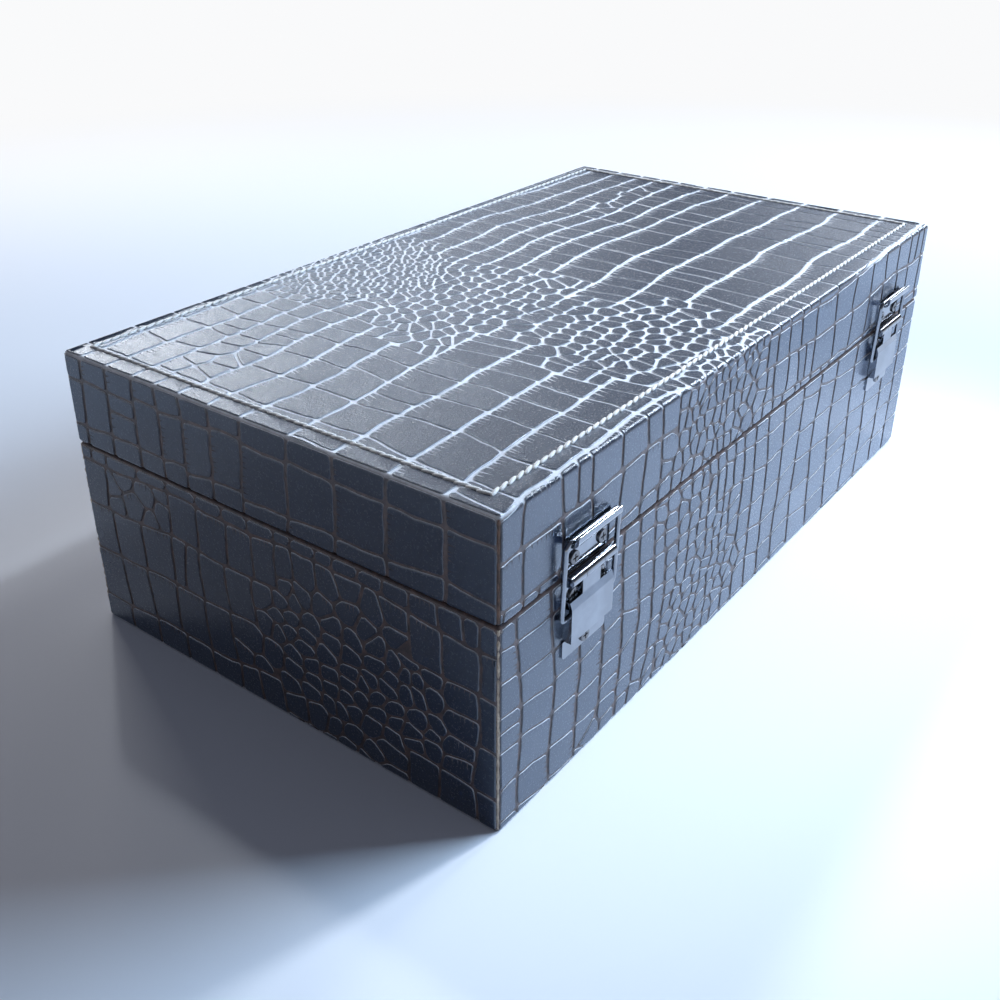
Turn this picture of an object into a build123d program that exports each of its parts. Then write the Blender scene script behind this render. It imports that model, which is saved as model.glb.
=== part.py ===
import os
from math import hypot

from build123d import *

os.makedirs("parts", exist_ok=True)

# Closed box over the leather, in mm. X runs left to right, Y front to back, Z up.
box_length = 360.0
box_depth = 205.0
box_height = 120.0
lid_height = 38.0  # from the split up to the top

# Covering, boards and lining
leather_thickness = 1.0
board_thickness = 6.0
foam_thickness = 1.5
lining_thickness = 1.5
pad_thickness = 4.0
sheet_thickness = 1.0
edge_radius = 1.5  # rounding of the covered edges
turn_under = 12.0  # width of leather folded under the base
sheet_gap = 0.5  # from the folded leather to the base sheet
rim_gap = 0.3  # dark line between lid and body
lip_height = 3.5  # how far the body lining stands above the split
lip_clearance = 0.5  # from that lip to the lid

# Screws of latches and hinges
head_radius = 2.5
head_height = 0.8
head_rounding = 0.35
shank_radius = 1.3
shank_length = 6.0  # below the plate's outer face
slot_length = 2.9
slot_width = 0.6
slot_depth = 0.45
screw_fit = 0.05

# Draw latch, heights from the split, distances out from the front face
latch_inset = 46.5  # from the end of the box to the middle of the latch
latch_plate = 1.0  # thickness of base and strike
latch_width = 26.0
plate_corner = 1.5
lever_axis_out = 2.7
lever_axis_up = -0.7
knuckle_radius = 2.0
lever_knuckle = 10.6  # width of the middle knuckle and of the tongue
knuckle_gap = 0.2
latch_pin_radius = 0.8
latch_pin_head = 1.2
latch_pin_head_height = 0.4
pin_fit = 0.05
strike_bottom_up = 1.2
strike_screw_up = 6.0
latch_screw_spacing = 16.4
base_bottom_up = -32.0
base_screw_up = -7.6
base_low_screw_up = -28.6
wire_radius = 0.9
wire_up = 14.4  # crossbar of the bail in its hook
wire_out = 2.9
hook_radius = 1.9  # inside the hook
hook_seat = 0.2  # from the crossbar to the hook
hook_lip = 1.4  # lip above the middle of the hook
lip_rounding = 0.45
bail_pivot_out = 2.0
bail_pivot_up = -15.0
bail_side = 2.6  # from the plates' edge to the middle of the bail's arm
bail_corner = 2.4
bail_foot_corner = 1.6
lever_sheet = 1.1
lever_width = 25.2
tongue_out = 2.6  # middle of the lever's sheet beside the barrel
face_out = 3.5  # middle of the lever's sheet at the handle
ramp_top_up = -8.6
ramp_bottom_up = -11.4
lever_bottom_up = -24.3
ear_clearance = 0.5  # lever ears to the leather
ear_gap = 0.5  # lever ears to the base plate
wire_fit = 0.05
bail_end = 0.2  # bail foot inside the lever's ear

# Butt hinge, heights from the split, distances out from the back face
hinge_inset = 65.0  # from the end of the box to the middle of the hinge
hinge_width = 30.0
hinge_leaf = 1.0
leaf_height = 15.0
hinge_knuckles = 5
hinge_radius = 2.3
hinge_stand_off = 0.3  # barrel to the leather
hinge_gap = 0.3
hinge_knuckle_gap = 0.2
hinge_pin_radius = 1.0
hinge_screw_spacing = 18.0
hinge_screw_up = 9.0

# Places that follow from the sizes above
half_length = box_length / 2
half_depth = box_depth / 2
split_height = box_height - lid_height
body_rim = split_height - rim_gap / 2
lid_rim = split_height + rim_gap / 2
board_length = half_length - leather_thickness  # outer face of the end boards
board_depth = half_depth - leather_thickness
inner_length = board_length - board_thickness
inner_depth = board_depth - board_thickness
lined_length = inner_length - lining_thickness
lined_depth = inner_depth - lining_thickness
body_board_top = body_rim - leather_thickness
lid_board_bottom = lid_rim + leather_thickness
lid_board_top = box_height - leather_thickness - foam_thickness
lid_ceiling = lid_board_top - board_thickness
body_floor = sheet_thickness + board_thickness
latch_centre = half_length - latch_inset
hinge_centre = half_length - hinge_inset
sides = {"left": -1, "right": 1}


def block(x, y, z):
    """Box between the two values given on each axis."""
    size = Box(x[1] - x[0], y[1] - y[0], z[1] - z[0], align=(Align.MIN, Align.MIN, Align.MIN))
    return Pos(x[0], y[0], z[0]) * size


def tray(length, depth, z):
    """Box centred on the middle of the base, from its half length and half depth."""
    return block((-length, length), (-depth, depth), z)


def rod(radius, x, out, up):
    """Cylinder along X between two x values, at a distance out and up."""
    turned = Rot(0, 90, 0) * Cylinder(radius, x[1] - x[0])
    return Pos((x[0] + x[1]) / 2, out, up) * turned


def strip(points, thickness):
    """Outline of a bent sheet in the Y-Z plane, given by its middle line."""
    near, far = [], []
    for index, (y, z) in enumerate(points):
        normals = []
        for first, second in ((index - 1, index), (index, index + 1)):
            if first >= 0 and second < len(points):
                dy = points[second][0] - points[first][0]
                dz = points[second][1] - points[first][1]
                run = hypot(dy, dz)
                normals.append((-dz / run, dy / run))
        ny = sum(n[0] for n in normals) / len(normals)
        nz = sum(n[1] for n in normals) / len(normals)
        reach = thickness / 2 / (ny * ny + nz * nz)
        near.append((y + ny * reach, z + nz * reach))
        far.append((y - ny * reach, z - nz * reach))
    return near + far[::-1]


def bent_sheet(points, thickness, width):
    """Bent sheet of one thickness, centred on X."""
    corners = [(0, y, z) for y, z in strip(points, thickness)]
    face = make_face(Polyline(*corners, close=True))
    return extrude(face, width / 2, dir=(1, 0, 0), both=True)


def screw_points(spacing, up):
    return [(-spacing / 2, up), (spacing / 2, up)]


latch_strike_points = screw_points(latch_screw_spacing, strike_screw_up)
latch_base_points = screw_points(latch_screw_spacing, base_screw_up) + [(0, base_low_screw_up)]
hinge_lid_points = screw_points(hinge_screw_spacing, hinge_screw_up)
hinge_body_points = screw_points(hinge_screw_spacing, -hinge_screw_up)


def screw(plate, outward):
    """Cross-slot pan-head screw through a plate whose outer face is plate from Y = 0."""
    head = Cylinder(head_radius, head_height, align=(Align.CENTER, Align.CENTER, Align.MIN))
    head = fillet(head.edges().sort_by(Axis.Z)[-1], head_rounding)
    shank = Cylinder(shank_radius, shank_length, align=(Align.CENTER, Align.CENTER, Align.MAX))
    slot = Box(slot_length, slot_width, slot_depth, align=(Align.CENTER, Align.CENTER, Align.MAX))
    slot = Pos(0, 0, head_height) * slot
    body = head + shank - slot - Rot(0, 0, 90) * slot
    return Pos(0, outward * plate, 0) * Rot(-90 * outward, 0, 0) * body


def screws(points, plate, outward, centre):
    """Screws of the left and right fitting on one long side."""
    face = outward * half_depth
    return [
        Pos(side * centre + x, face, split_height + up) * screw(plate, outward)
        for side in sides.values()
        for x, up in points
    ]


def screw_holes(points, outward, centre):
    """Holes for the same screws, from outside the plate to past the shank's tip."""
    reach = 2 * (shank_length + head_height)
    face = outward * half_depth
    hole = Rot(90, 0, 0) * Cylinder(shank_radius + screw_fit, reach)
    return [
        Pos(side * centre + x, face, split_height + up) * hole
        for side in sides.values()
        for x, up in points
    ]


def plate_holes(points):
    """The same holes in one plate that lies on the plane Y = 0."""
    hole = Rot(90, 0, 0) * Cylinder(shank_radius + screw_fit, 2 * shank_length)
    return [Pos(x, 0, up) * hole for x, up in points]


def wall_boards(low, high):
    """Four upright boards: full-length front and back, ends between them."""
    return {
        "front": block((-board_length, board_length), (-board_depth, -inner_depth), (low, high)),
        "back": block((-board_length, board_length), (inner_depth, board_depth), (low, high)),
        "left": block((-board_length, -inner_length), (-inner_depth, inner_depth), (low, high)),
        "right": block((inner_length, board_length), (-inner_depth, inner_depth), (low, high)),
    }


def wall_linings(low, high, set_back=0.0):
    """Four covered cards inside the boards, with their outer face set back."""
    x, y = inner_length - set_back, inner_depth - set_back
    return {
        "front": block((-x, x), (-y, -lined_depth), (low, high)),
        "back": block((-x, x), (lined_depth, y), (low, high)),
        "left": block((-x, -lined_length), (-lined_depth, lined_depth), (low, high)),
        "right": block((lined_length, x), (-lined_depth, lined_depth), (low, high)),
    }


def body_nodes():
    front_holes = screw_holes(latch_base_points, -1, latch_centre)
    back_holes = screw_holes(hinge_body_points, 1, hinge_centre)
    boards = wall_boards(sheet_thickness, body_board_top)
    boards["front"] -= front_holes
    boards["back"] -= back_holes
    nodes = {f"body_{side}_board": board for side, board in boards.items()}
    nodes["body_bottom_board"] = tray(inner_length, inner_depth, (sheet_thickness, body_floor))
    shell = fillet(tray(half_length, half_depth, (0, body_rim)).edges(), edge_radius)
    shell -= tray(board_length, board_depth, (sheet_thickness, body_board_top))
    shell -= tray(inner_length, inner_depth, (body_board_top, body_rim + edge_radius))
    fold_length, fold_depth = board_length - turn_under, board_depth - turn_under
    shell -= tray(fold_length, fold_depth, (-edge_radius, sheet_thickness))
    nodes["body_leather"] = shell - front_holes - back_holes
    felt = tray(fold_length - sheet_gap, fold_depth - sheet_gap, (0, sheet_thickness))
    nodes["base_sheet"] = felt
    cards = wall_linings(body_floor, body_rim)
    lips = wall_linings(body_rim, split_height + lip_height, lip_clearance)
    for side in cards:
        nodes[f"body_lining_{side}"] = cards[side] + lips[side]
    pad = tray(lined_length, lined_depth, (body_floor, body_floor + pad_thickness))
    nodes["body_floor_pad"] = fillet(pad.faces().sort_by(Axis.Z)[-1].edges(), pad_thickness / 2)
    return nodes


def lid_nodes():
    front_holes = screw_holes(latch_strike_points, -1, latch_centre)
    back_holes = screw_holes(hinge_lid_points, 1, hinge_centre)
    boards = wall_boards(lid_board_bottom, lid_ceiling)
    boards["front"] -= front_holes
    boards["back"] -= back_holes
    nodes = {f"lid_{side}_board": board for side, board in boards.items()}
    nodes["lid_top_board"] = tray(board_length, board_depth, (lid_ceiling, lid_board_top))
    foam_top = lid_board_top + foam_thickness
    nodes["lid_top_foam"] = tray(board_length, board_depth, (lid_board_top, foam_top))
    shell = fillet(tray(half_length, half_depth, (lid_rim, box_height)).edges(), edge_radius)
    shell -= tray(board_length, board_depth, (lid_board_bottom, foam_top))
    shell -= tray(inner_length, inner_depth, (lid_rim - edge_radius, lid_board_bottom))
    nodes["lid_leather"] = shell - front_holes - back_holes
    lining_bottom = split_height + lip_height + lip_clearance
    for side, card in wall_linings(lining_bottom, lid_ceiling).items():
        nodes[f"lid_lining_{side}"] = card
    pad = tray(lined_length, lined_depth, (lid_ceiling - pad_thickness, lid_ceiling))
    nodes["lid_lining_pad"] = fillet(pad.faces().sort_by(Axis.Z)[0].edges(), pad_thickness / 2)
    return nodes


def latch_strike():
    """Plate on the lid whose top is bent into an upward hook for the bail."""
    x = (-latch_width / 2, latch_width / 2)
    hook_up = wire_up + hook_radius - wire_radius - hook_seat
    outer = hook_radius + latch_plate
    plate = block(x, (-latch_plate, 0), (strike_bottom_up, hook_up))
    low_edges = plate.edges().filter_by(Axis.Y).group_by(Axis.Z)[0]
    plate = fillet(low_edges, plate_corner)
    hook = rod(outer, x, -wire_out, hook_up)
    hook -= block(x, (-wire_out - outer, 0), (hook_up, hook_up + outer))
    lip = block(x, (-wire_out - outer, -wire_out - hook_radius), (hook_up, hook_up + hook_lip))
    crest = lip.edges().filter_by(Axis.X).group_by(Axis.Z)[-1]
    lip = fillet(crest, lip_rounding)
    strike = plate + hook + lip - rod(hook_radius, x, -wire_out, hook_up)
    return strike - plate_holes(latch_strike_points)


def latch_base():
    """Plate on the body with a knuckle at each side and notches for the lever's ears."""
    half = latch_width / 2
    knuckle_start = lever_knuckle / 2 + knuckle_gap
    plate = block((-half, half), (-latch_plate, 0), (base_bottom_up, lever_axis_up))
    plate = fillet(plate.edges().filter_by(Axis.Y).group_by(Axis.Z)[0], plate_corner)
    clear = lever_axis_up - knuckle_radius - ear_gap
    plate -= block((-knuckle_start, knuckle_start), (-latch_plate, 0), (clear, lever_axis_up))
    waist = lever_width / 2 - lever_sheet - ear_gap
    notch = (lever_bottom_up - ear_gap, ramp_top_up)
    for side in (-1, 1):
        ends = sorted((side * waist, side * half))
        plate -= block(ends, (-latch_plate, 0), notch)
        ends = sorted((side * knuckle_start, side * half))
        neck_top = lever_axis_up - latch_pin_radius - pin_fit
        neck = block(ends, (-lever_axis_out, 0), (lever_axis_up - knuckle_radius, neck_top))
        plate += neck + rod(knuckle_radius, ends, -lever_axis_out, lever_axis_up)
    bore = rod(latch_pin_radius + pin_fit, (-half, half), -lever_axis_out, lever_axis_up)
    return plate - bore - plate_holes(latch_base_points)


def latch_lever():
    """Sheet lever: knuckle, tongue between the screws, ramp, handle face and two ears."""
    tongue_line = [(-tongue_out, lever_axis_up), (-tongue_out, ramp_top_up)]
    handle_line = [
        (-tongue_out, ramp_top_up + lever_sheet),
        (-tongue_out, ramp_top_up),
        (-face_out, ramp_bottom_up),
        (-face_out, lever_bottom_up),
    ]
    knuckle = (-lever_knuckle / 2, lever_knuckle / 2)
    lever = bent_sheet(tongue_line, lever_sheet, lever_knuckle)
    lever += bent_sheet(handle_line, lever_sheet, lever_width)
    lever -= block((-lever_width, lever_width), (-face_out, 0), (ramp_top_up, 0)) - block(
        knuckle, (-face_out, 0), (ramp_top_up, 0)
    )
    lever += rod(knuckle_radius, knuckle, -lever_axis_out, lever_axis_up)
    for side in (-1, 1):
        ends = sorted((side * (lever_width / 2 - lever_sheet), side * lever_width / 2))
        face = (-face_out - lever_sheet / 2, -ear_clearance)
        ear = block(ends, face, (lever_bottom_up, ramp_bottom_up))
        inner = ear.edges().filter_by(Axis.X).group_by(Axis.Y)[-1]
        lever += fillet(inner, lever_sheet)
    lever -= rod(latch_pin_radius + pin_fit, knuckle, -lever_axis_out, lever_axis_up)
    holes = (-lever_width, lever_width)
    return lever - rod(wire_radius + wire_fit, holes, -bail_pivot_out, bail_pivot_up)


def latch_bail():
    """Wire loop over the hook, with its two feet turned into the lever's ears."""
    arm = latch_width / 2 + bail_side
    foot = lever_width / 2 - lever_sheet - bail_end
    path = FilletPolyline(
        (-foot, -bail_pivot_out, bail_pivot_up),
        (-arm, -bail_pivot_out, bail_pivot_up),
        (-arm, -wire_out, wire_up),
        (arm, -wire_out, wire_up),
        (arm, -bail_pivot_out, bail_pivot_up),
        (foot, -bail_pivot_out, bail_pivot_up),
        radius=(bail_foot_corner, bail_corner, bail_corner, bail_foot_corner),
    )
    start = Plane(origin=path @ 0, z_dir=path % 0)
    return sweep(start * Circle(wire_radius), path=path)


def latch_pin():
    """Pin through the barrel with a low head at each end."""
    half = latch_width / 2
    pin = rod(latch_pin_radius, (-half, half), -lever_axis_out, lever_axis_up)
    for side in (-1, 1):
        ends = sorted((side * half, side * (half + latch_pin_head_height)))
        pin += rod(latch_pin_head, ends, -lever_axis_out, lever_axis_up)
    return pin


def hinge_leaf_solid(up):
    """One leaf, up for the lid's (1) or the body's (-1), with its knuckles."""
    half = hinge_width / 2
    axis_out = hinge_stand_off + hinge_radius
    pitch = hinge_width / hinge_knuckles
    owns_ends = up < 0
    plate = block((-half, half), (0, hinge_leaf), sorted((0, up * leaf_height)))
    corners = plate.edges().filter_by(Axis.Y).sort_by(Axis.Z)
    leaf = fillet(corners[2:] if up > 0 else corners[:2], plate_corner)
    clear = sorted((-up * hinge_radius, up * (hinge_radius + hinge_gap)))
    for index in range(hinge_knuckles):
        low = -half + index * pitch
        low_gap = hinge_knuckle_gap / 2 if index > 0 else 0
        high_gap = hinge_knuckle_gap / 2 if index < hinge_knuckles - 1 else 0
        if (index % 2 == 0) == owns_ends:
            leaf += rod(hinge_radius, (low + low_gap, low + pitch - high_gap), axis_out, 0)
        else:
            cut = (low - hinge_knuckle_gap / 2, low + pitch + hinge_knuckle_gap / 2)
            leaf -= block(cut, (0, axis_out + hinge_radius), clear)
    leaf -= rod(hinge_pin_radius + pin_fit, (-half, half), axis_out, 0)
    return leaf - plate_holes(hinge_lid_points if up > 0 else hinge_body_points)


def hinge_pin():
    half = hinge_width / 2
    return rod(hinge_pin_radius, (-half, half), hinge_stand_off + hinge_radius, 0)


nodes = {**body_nodes(), **lid_nodes()}
for name, side in sides.items():
    on_front = Pos(side * latch_centre, -half_depth, split_height)
    nodes[f"{name}_latch_strike"] = on_front * latch_strike()
    nodes[f"{name}_latch_base"] = on_front * latch_base()
    nodes[f"{name}_latch_lever"] = on_front * latch_lever()
    nodes[f"{name}_latch_bail"] = on_front * latch_bail()
    nodes[f"{name}_latch_pin"] = on_front * latch_pin()
    on_back = Pos(side * hinge_centre, half_depth, split_height)
    nodes[f"{name}_hinge_body_leaf"] = on_back * hinge_leaf_solid(-1)
    nodes[f"{name}_hinge_lid_leaf"] = on_back * hinge_leaf_solid(1)
    nodes[f"{name}_hinge_pin"] = on_back * hinge_pin()
nodes["latch_strike_screws"] = screws(latch_strike_points, latch_plate, -1, latch_centre)
nodes["latch_base_screws"] = screws(latch_base_points, latch_plate, -1, latch_centre)
nodes["hinge_lid_screws"] = screws(hinge_lid_points, hinge_leaf, 1, hinge_centre)
nodes["hinge_body_screws"] = screws(hinge_body_points, hinge_leaf, 1, hinge_centre)

for name, shape in nodes.items():
    solids = shape if isinstance(shape, list) else [shape]
    pieces = [solid for part in solids for solid in part.solids()]
    whole = pieces[0] if len(pieces) == 1 else Compound(children=pieces)
    whole.label = name
    export_step(whole, f"parts/{name}.step")
    print(name, len(pieces), "solid" if len(pieces) == 1 else "solids")
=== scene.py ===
import random
from math import cos, degrees, hypot, pi, radians, sin

import bmesh
import bpy
from mathutils import Euler, Matrix, Vector, kdtree, noise


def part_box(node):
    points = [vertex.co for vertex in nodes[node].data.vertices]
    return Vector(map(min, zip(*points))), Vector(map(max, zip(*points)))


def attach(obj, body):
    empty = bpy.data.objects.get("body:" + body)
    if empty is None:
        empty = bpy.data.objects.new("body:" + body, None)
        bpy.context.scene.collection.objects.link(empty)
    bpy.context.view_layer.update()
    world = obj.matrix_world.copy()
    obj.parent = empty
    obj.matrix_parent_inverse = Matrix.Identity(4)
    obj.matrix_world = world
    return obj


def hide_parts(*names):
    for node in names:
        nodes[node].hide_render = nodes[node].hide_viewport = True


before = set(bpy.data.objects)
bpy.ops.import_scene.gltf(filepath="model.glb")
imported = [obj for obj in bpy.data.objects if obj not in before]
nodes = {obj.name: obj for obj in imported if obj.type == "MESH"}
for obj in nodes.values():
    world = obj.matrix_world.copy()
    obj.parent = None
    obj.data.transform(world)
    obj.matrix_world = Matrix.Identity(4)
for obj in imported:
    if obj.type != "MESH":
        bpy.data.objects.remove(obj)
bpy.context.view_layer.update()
mm = 0.001
noise.seed_set(4)  # without it noise_vector differs at each start of Blender
print("frame loaded", len(nodes), "nodes")

# sizes read from the frame, in mm, so that the pattern can be thought of in mm
lidLow, lidHigh = (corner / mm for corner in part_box("lid_leather"))
bodyLow, bodyHigh = (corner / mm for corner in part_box("body_leather"))
boxShape = {
    "halfLength": lidHigh.x,
    "halfDepth": lidHigh.y,
    "top": lidHigh.z,
    "lidRim": lidLow.z,
    "bodyRim": bodyHigh.z,
    "edgeRadius": 1.5,  # same rounding as the covered boards
}
arc = boxShape["edgeRadius"] * pi / 2
flatLength = boxShape["halfLength"] - boxShape["edgeRadius"]
flatDepth = boxShape["halfDepth"] - boxShape["edgeRadius"]
lidSide = boxShape["top"] - boxShape["lidRim"] - 2 * boxShape["edgeRadius"]
bodySide = boxShape["bodyRim"] - 2 * boxShape["edgeRadius"]


def clearSelection():
    if bpy.context.object and bpy.context.object.mode != "OBJECT":
        bpy.ops.object.mode_set(mode="OBJECT")
    bpy.ops.object.select_all(action="DESELECT")


def selectOnly(piece):
    clearSelection()
    piece.select_set(True)
    bpy.context.view_layer.objects.active = piece


def linked(name, data):
    piece = bpy.data.objects.new(name, data)
    bpy.context.scene.collection.objects.link(piece)
    return piece


def meshPiece(name, verts, faces):
    mesh = bpy.data.meshes.new(name)
    mesh.from_pydata(verts, [], faces)
    mesh.polygons.foreach_set("use_smooth", [True] * len(mesh.polygons))
    mesh.update()
    return linked(name, mesh)


def bakePlace(piece):
    selectOnly(piece)
    bpy.ops.object.transform_apply(location=True, rotation=True, scale=True)


# materials
def feed(tree, node, values):
    # each input gets another node's output, a number or a colour
    for key, value in values.items():
        if isinstance(value, bpy.types.NodeSocket):
            tree.links.new(value, node.inputs[key])
        elif isinstance(value, (int, float)):
            node.inputs[key].default_value = value
        else:
            node.inputs[key].default_value = (*value, 1)


def addNode(tree, kind, **settings):
    node = tree.nodes.new(kind)
    for key, value in settings.items():
        if key in node.inputs:
            feed(tree, node, {key: value})
        else:
            setattr(node, key, value)
    return node


def newMaterial(name):
    material = bpy.data.materials.new(name)
    material.use_nodes = True
    tree = material.node_tree
    coords = addNode(tree, "ShaderNodeTexCoord").outputs["Object"]
    return material, tree, tree.nodes["Principled BSDF"], coords


def colourRamp(tree, source, stops):
    ramp = tree.nodes.new("ShaderNodeValToRGB")
    while len(ramp.color_ramp.elements) < len(stops):
        ramp.color_ramp.elements.new(0.5)
    for element, (place, colour) in zip(ramp.color_ramp.elements, stops):
        element.position = place
        element.color = (*colour, 1) if len(colour) == 3 else (colour[0],) * 3 + (1,)
    feed(tree, ramp, {"Fac": source})
    return ramp.outputs["Color"]


def grey(value):
    return value, value, value


def noiseOn(tree, coords, scale, detail, roughness=0.55):
    texture = addNode(tree, "ShaderNodeTexNoise", Vector=coords, Scale=scale, Detail=detail,
                      Roughness=roughness)
    return texture.outputs["Fac"]


def mixColour(tree, factor, first, second):
    mix = addNode(tree, "ShaderNodeMix", data_type="RGBA")
    feed(tree, mix, {0: factor, 6: first, 7: second})
    return mix.outputs[2]


def bumpFrom(tree, height, strength, distance, **below):
    bump = addNode(tree, "ShaderNodeBump", Height=height, Strength=strength, Distance=distance, **below)
    return bump.outputs["Normal"]


hideLook = {
    "groove": (0.105, 0.062, 0.050),  # dull copper at the bottom of the embossing
    "grooveOther": (0.035, 0.024, 0.024),
    "paintedGlare": (0.86, 0.85, 0.86),  # painted highlight: the groove made near white where it faces up, most of all on the lid's top, for the glare that falls there
    "paintedGlareOther": (0.66, 0.65, 0.66),
    "scale": (0.0065, 0.0090, 0.0185),
    "scaleOther": (0.0120, 0.0150, 0.0260),
    "raised": [(0.0, (0.0,)), (0.66, (0.12,)), (0.94, (1.0,))],  # from the groove's look to the scale's
    "roughness": {"scale": (0.22, 0.42), "groove": 0.45, "turned": 0.42},
    "coatWeight": {"scale": 1.0, "groove": 0.25, "turned": 0.5},
    "coatRoughness": (0.102, 0.289),
    "coatTint": (0.60, 0.77, 1.0),
    "cloudScale": 26.0,
    "wrinkleScale": 330.0,
    "wrinkleBump": (0.1, 0.00006),  # strength, distance
    "pebbleScale": 1350.0,
    "pebbleBump": (1.0, 0.00026),
    "pebbleOnSides": 0.22,  # share of it where a face doesn't look up
}


def embossedLook(tree, shader, cloud, wrinkle, pebble):
    # colour, roughness and coat from the scales' own relief, shade and upward share, which paints a
    # highlight into grooves that face up, and the pebbling to press
    relief, shade, upwardGlare = (addNode(tree, "ShaderNodeAttribute", attribute_name=name).outputs["Fac"]
                           for name in ("relief", "shade", "upwardGlare"))
    raised = colourRamp(tree, relief, hideLook["raised"])
    patchy = colourRamp(tree, wrinkle, [(0.35, (0.0,)), (0.62, (1.0,))])
    groove = mixColour(tree, patchy, hideLook["groove"], hideLook["grooveOther"])
    # painted highlight: grooves that face up get a near-white colour in place of their copper
    paintedGlare = mixColour(tree, patchy, hideLook["paintedGlare"], hideLook["paintedGlareOther"])
    scale = mixColour(tree, mixColour(tree, 0.5, cloud, shade), hideLook["scale"], hideLook["scaleOther"])
    smooth, dull = hideLook["roughness"]["scale"]
    weight = hideLook["coatWeight"]
    feed(tree, shader, {
        "Base Color": mixColour(tree, raised, mixColour(tree, upwardGlare, groove, paintedGlare), scale),
        "Roughness": mixColour(tree, raised, grey(hideLook["roughness"]["groove"]),
                               mixColour(tree, cloud, grey(smooth), grey(dull))),
        "Coat Weight": mixColour(tree, raised, grey(weight["groove"]), grey(weight["scale"])),
    })
    return mixColour(tree, upwardGlare, mixColour(tree, hideLook["pebbleOnSides"], grey(0.5), pebble), pebble)


def hideMaterial(name, embossed):
    material, tree, shader, coords = newMaterial(name)
    cloud = noiseOn(tree, coords, hideLook["cloudScale"], 4.0)
    wrinkle = noiseOn(tree, coords, hideLook["wrinkleScale"], 5.0, 0.6)
    pebble = noiseOn(tree, coords, hideLook["pebbleScale"], 2.0, 0.7)
    if embossed:
        pressed = embossedLook(tree, shader, cloud, wrinkle, pebble)
    else:
        pressed = pebble
        feed(tree, shader, {
            "Base Color": mixColour(tree, cloud, hideLook["scale"], hideLook["scaleOther"]),
            "Roughness": hideLook["roughness"]["turned"],
            "Coat Weight": hideLook["coatWeight"]["turned"],
        })
    wrinkled = bumpFrom(tree, wrinkle, *hideLook["wrinkleBump"])
    pebbled = bumpFrom(tree, pressed, *hideLook["pebbleBump"], Normal=wrinkled)
    low, high = hideLook["coatRoughness"]
    feed(tree, shader, {
        "Normal": pebbled,
        "IOR": 1.5,
        "Coat Normal": pebbled,
        "Coat Roughness": colourRamp(tree, pebble, [(0.36, (low,)), (0.64, (high,))]),
        "Coat IOR": 1.6,
        "Coat Tint": hideLook["coatTint"],
    })
    return material


metalLook = {
    "stretch": (0.12, 1.0, 1.0),  # brushed along X
    "brushScale": 900.0,
    "brushBump": (0.10, 0.00002),  # strength, distance
    "hazeScale": 90.0,
    "paler": 1.25,  # how much lighter the haze is
    "uneven": (0.8, 1.5),  # least and most of the roughness
}


def metalMaterial(name, colour, roughness):
    material, tree, shader, coords = newMaterial(name)
    stretch = addNode(tree, "ShaderNodeMapping", Vector=coords)
    stretch.inputs["Scale"].default_value = metalLook["stretch"]
    brush = noiseOn(tree, stretch.outputs["Vector"], metalLook["brushScale"], 4.0, 0.7)
    haze = noiseOn(tree, coords, metalLook["hazeScale"], 4.0)
    paler = tuple(share * metalLook["paler"] for share in colour)
    low, high = metalLook["uneven"]
    feed(tree, shader, {
        "Base Color": mixColour(tree, colourRamp(tree, haze, [(0.4, (0.0,)), (0.7, (1.0,))]), colour, paler),
        "Roughness": colourRamp(tree, brush, [(0.3, (roughness * low,)), (0.75, (roughness * high,))]),
        "Normal": bumpFrom(tree, brush, *metalLook["brushBump"]),
        "Metallic": 1.0,
    })
    return material


velvetLook = {
    "napScale": 38.0,
    "pileScale": 2600.0,
    "pileShare": 0.35,
    "pileBump": (0.7, 0.00025),
    "sheen": {"Roughness": 0.95, "Sheen Weight": 0.7, "Sheen Roughness": 0.35, "Specular IOR Level": 0.15},
}


def velvetMaterial(name, dark, light):
    material, tree, shader, coords = newMaterial(name)
    nap = noiseOn(tree, coords, velvetLook["napScale"], 5.0, 0.65)
    pile = noiseOn(tree, coords, velvetLook["pileScale"], 2.0, 0.8)
    brushed = colourRamp(tree, nap, [(0.35, dark), (0.72, light)])
    piled = colourRamp(tree, pile, [(0.3, dark), (0.75, light)])
    feed(tree, shader, {
        "Base Color": mixColour(tree, velvetLook["pileShare"], brushed, piled),
        "Normal": bumpFrom(tree, pile, *velvetLook["pileBump"]),
        **velvetLook["sheen"],
    })
    return material


def plainMaterial(name, dark, light, scale, roughness, bump=0.3):
    material, tree, shader, coords = newMaterial(name)
    grain = noiseOn(tree, coords, scale, 6.0, 0.65)
    feed(tree, shader, {
        "Base Color": colourRamp(tree, grain, [(0.3, dark), (0.7, light)]),
        "Normal": bumpFrom(tree, grain, bump, 0.0002),
        "Roughness": roughness,
    })
    return material


hide = hideMaterial("embossedHide", True)
turnedHide = hideMaterial("turnedHide", False)
blackNickel = metalMaterial("blackNickel", (0.27, 0.29, 0.33), 0.09)
hingeMetal = metalMaterial("hingeNickel", (0.28, 0.29, 0.32), 0.12)
screwMetal = metalMaterial("screwNickel", (0.16, 0.16, 0.17), 0.16)
velvet = velvetMaterial("charcoalVelvet", (0.020, 0.020, 0.023), (0.075, 0.073, 0.082))
baseFelt = plainMaterial("baseFelt", (0.012, 0.012, 0.013), (0.035, 0.034, 0.036), 900.0, 0.95, 0.8)
rawBoard = plainMaterial("rawBoard", (0.30, 0.20, 0.12), (0.46, 0.33, 0.21), 260.0, 0.8)
paleFoam = plainMaterial("paleFoam", (0.55, 0.55, 0.52), (0.75, 0.74, 0.7), 700.0, 0.95)
stitchThread = plainMaterial("stitchThread", (0.50, 0.49, 0.49), (0.80, 0.79, 0.78), 2200.0, 0.42, 0.8)
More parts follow.
